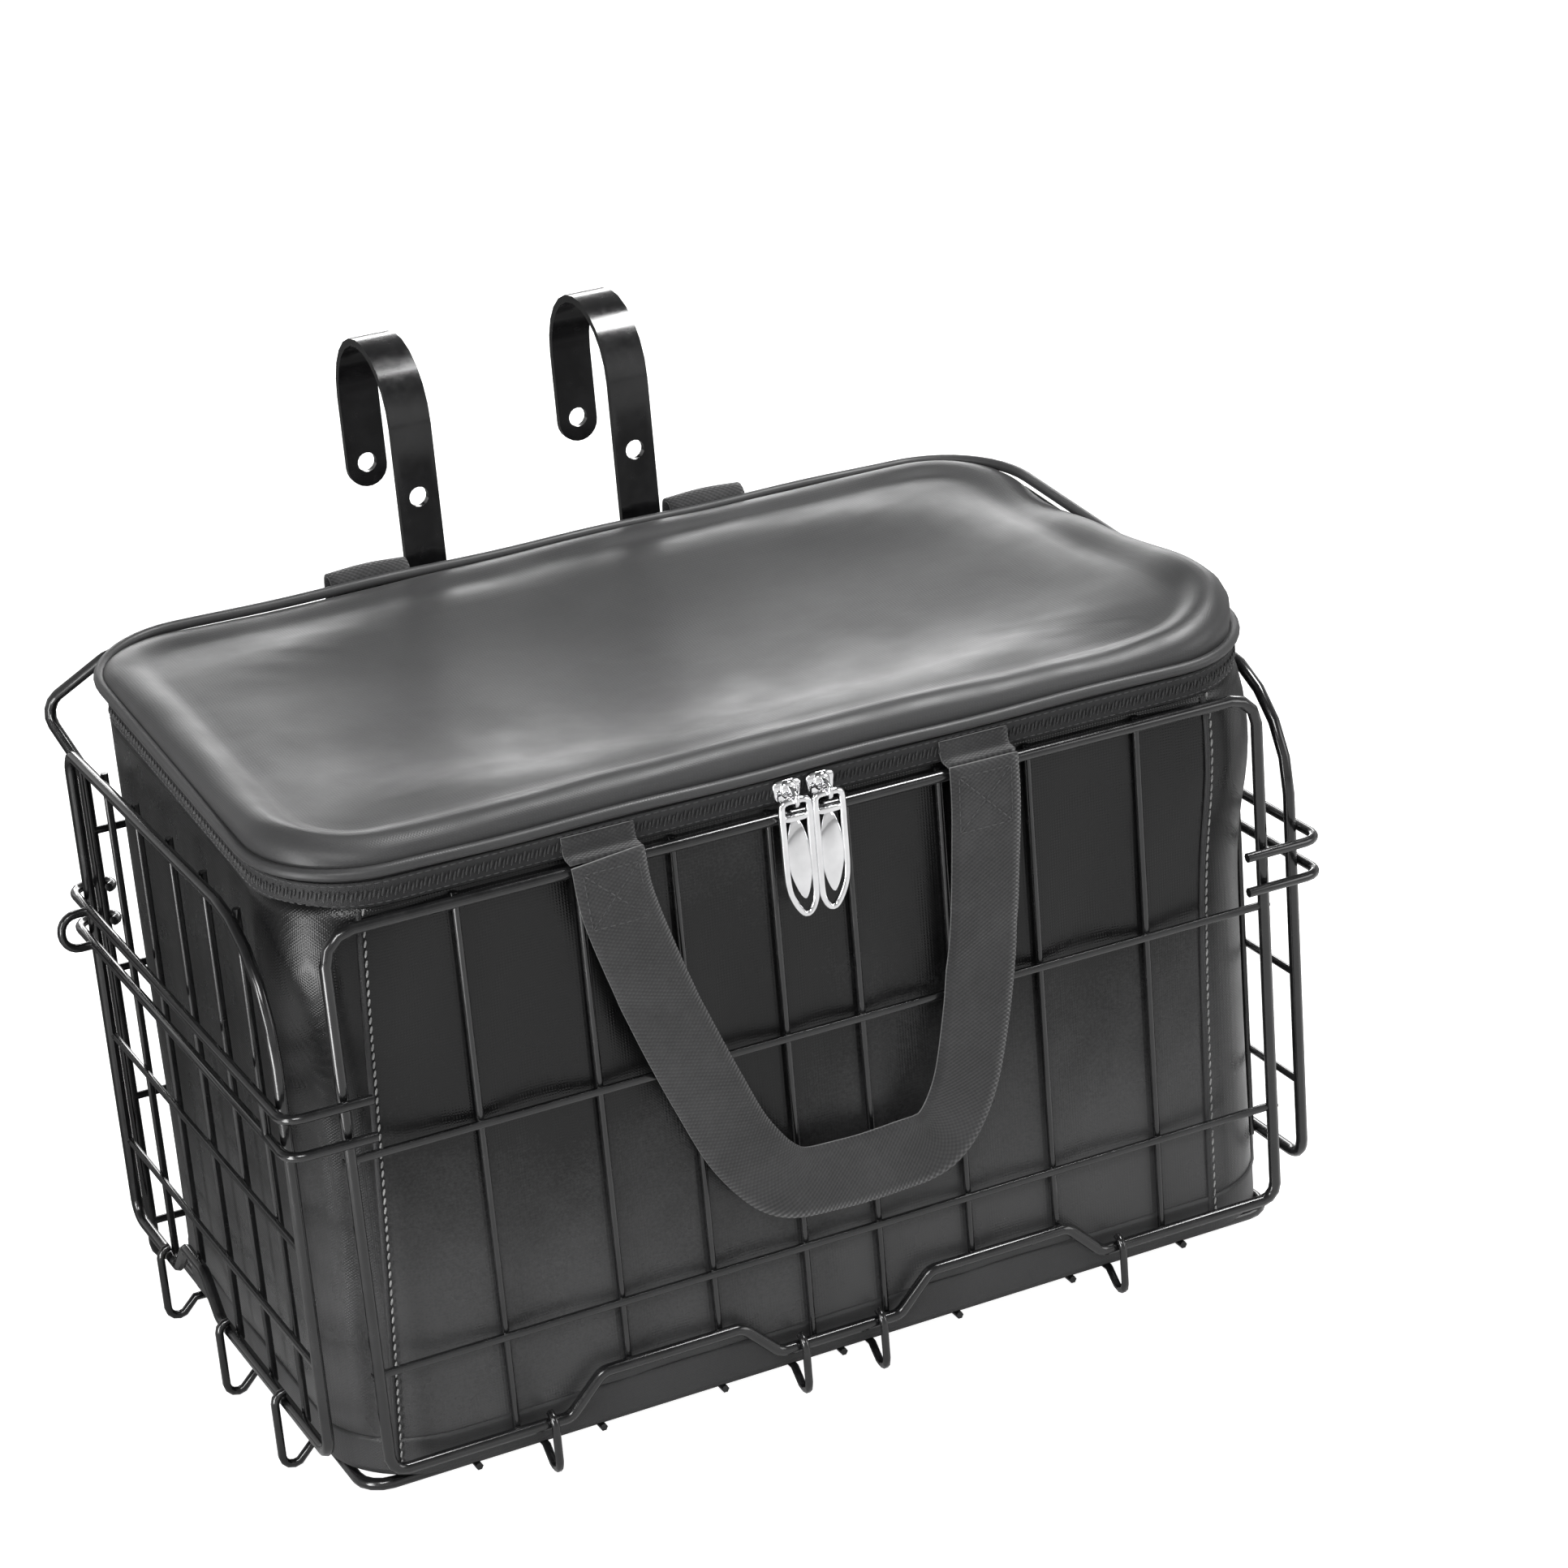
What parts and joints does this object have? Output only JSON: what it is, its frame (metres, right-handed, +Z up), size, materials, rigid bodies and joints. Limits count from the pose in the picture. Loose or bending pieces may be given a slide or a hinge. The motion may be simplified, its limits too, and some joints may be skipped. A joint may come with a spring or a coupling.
{
  "type": "folding bicycle basket",
  "caption": "Folding wire bicycle basket with handlebar hooks, hinged front and side panels, wire latches and a zip-lid liner bag.",
  "frame": {"origin": "bottom centre of the bounding box, on the ground that the hinge loops stand on", "axes": "+Z up, +X to the right seen from the front, the front panel faces -Y and the handlebar hooks are at +Y"},
  "size_m": [0.437, 0.3051, 0.3478],
  "materials": {
    "black_powder_coat": "semi-gloss black powder coat",
    "black_rubber": "matt black",
    "bag_fabric": "charcoal coated woven polyester",
    "foil_lining": "silver insulating foil",
    "webbing": "black woven webbing",
    "binding": "black binding over piping",
    "zip_tape": "black coil zip on tape",
    "chrome": "polished",
    "zinc_bolt": "zinc plated"
  },
  "bodies": {
    "frame": {"bottom_panel": "black_powder_coat", "back_panel": "black_powder_coat", "rear_stay": "black_powder_coat", "rear_bracket": "black_powder_coat", "left_hook": "black_powder_coat", "left_hook_sleeve": "black_rubber", "left_clamp_plate": "black_powder_coat", "left_lower_bolt": "zinc_bolt", "left_upper_bolt": "zinc_bolt", "left_lower_nut": "zinc_bolt", "left_upper_nut": "zinc_bolt", "right_hook": "black_powder_coat", "right_hook_sleeve": "black_rubber", "right_clamp_plate": "black_powder_coat", "right_lower_bolt": "zinc_bolt", "right_upper_bolt": "zinc_bolt", "right_lower_nut": "zinc_bolt", "right_upper_nut": "zinc_bolt"},
    "front": {"front_panel": "black_powder_coat"},
    "left_side": {"left_side_panel": "black_powder_coat"},
    "right_side": {"right_side_panel": "black_powder_coat"},
    "left_latch": {"left_latch": "black_powder_coat"},
    "right_latch": {"right_latch": "black_powder_coat"},
    "liner": {"liner_bag": "bag_fabric", "inner_lining": "foil_lining", "zip_tape": "zip_tape", "left_rear_tab": "webbing", "right_rear_tab": "webbing", "left_handle_tab": "webbing", "right_handle_tab": "webbing"},
    "lid": {"liner_lid": "bag_fabric", "lid_piping": "binding"},
    "handle": {"carry_handle": "webbing"},
    "left_slider": {"zip_slider_left": "chrome"},
    "right_slider": {"zip_slider_right": "chrome"},
    "left_pull": {"zip_pull_left": "chrome"},
    "right_pull": {"zip_pull_right": "chrome"}
  },
  "joints": [
    {"name": "front_fold", "type": "hinge", "parent": "frame", "child": "front", "pos_m": [0, -0.1461, 0.0198], "axis": [-1, 0, 0], "range_deg": [0, 90], "deforming": ["liner_bag", "inner_lining"]},
    {"name": "left_fold", "type": "hinge", "parent": "frame", "child": "left_side", "pos_m": [-0.2005, -0.0281, 0.0272], "axis": [0, 1, 0], "range_deg": [0, 90], "deforming": ["liner_bag", "inner_lining"]},
    {"name": "right_fold", "type": "hinge", "parent": "frame", "child": "right_side", "pos_m": [0.2005, -0.0281, 0.0272], "axis": [0, -1, 0], "range_deg": [0, 90], "deforming": ["liner_bag", "inner_lining"]},
    {"name": "left_latch_swing", "type": "hinge", "parent": "frame", "child": "left_latch", "pos_m": [-0.194, 0.0899, 0.1578], "axis": [0, 0, -1], "range_deg": [0, 180]},
    {"name": "right_latch_swing", "type": "hinge", "parent": "frame", "child": "right_latch", "pos_m": [0.194, 0.0899, 0.1578], "axis": [0, 0, 1], "range_deg": [0, 180]},
    {"name": "liner_lift", "type": "slide", "parent": "frame", "child": "liner", "axis": [0, 0, 1], "range_m": [0, 0.26]},
    {"name": "lid_open", "type": "hinge", "parent": "liner", "child": "lid", "pos_m": [0, 0.0804, 0.2634], "axis": [-1, 0, 0], "range_deg": [0, 90]},
    {"name": "handle_swing", "type": "hinge", "parent": "liner", "child": "handle", "pos_m": [0, -0.1503, 0.23], "axis": [-1, 0, 0], "range_deg": [0, 165]},
    {"name": "left_zip_slide", "type": "slide", "parent": "liner", "child": "left_slider", "axis": [-1, 0, 0], "range_m": [0, 0.038]},
    {"name": "right_zip_slide", "type": "slide", "parent": "liner", "child": "right_slider", "axis": [1, 0, 0], "range_m": [0, 0.036]},
    {"name": "left_pull_swing", "type": "hinge", "parent": "left_slider", "child": "left_pull", "pos_m": [-0.0075, -0.15, 0.2327], "axis": [-1, 0, 0], "range_deg": [0, 120]},
    {"name": "right_pull_swing", "type": "hinge", "parent": "right_slider", "child": "right_pull", "pos_m": [0.0055, -0.15, 0.2327], "axis": [-1, 0, 0], "range_deg": [0, 120]}
  ]
}
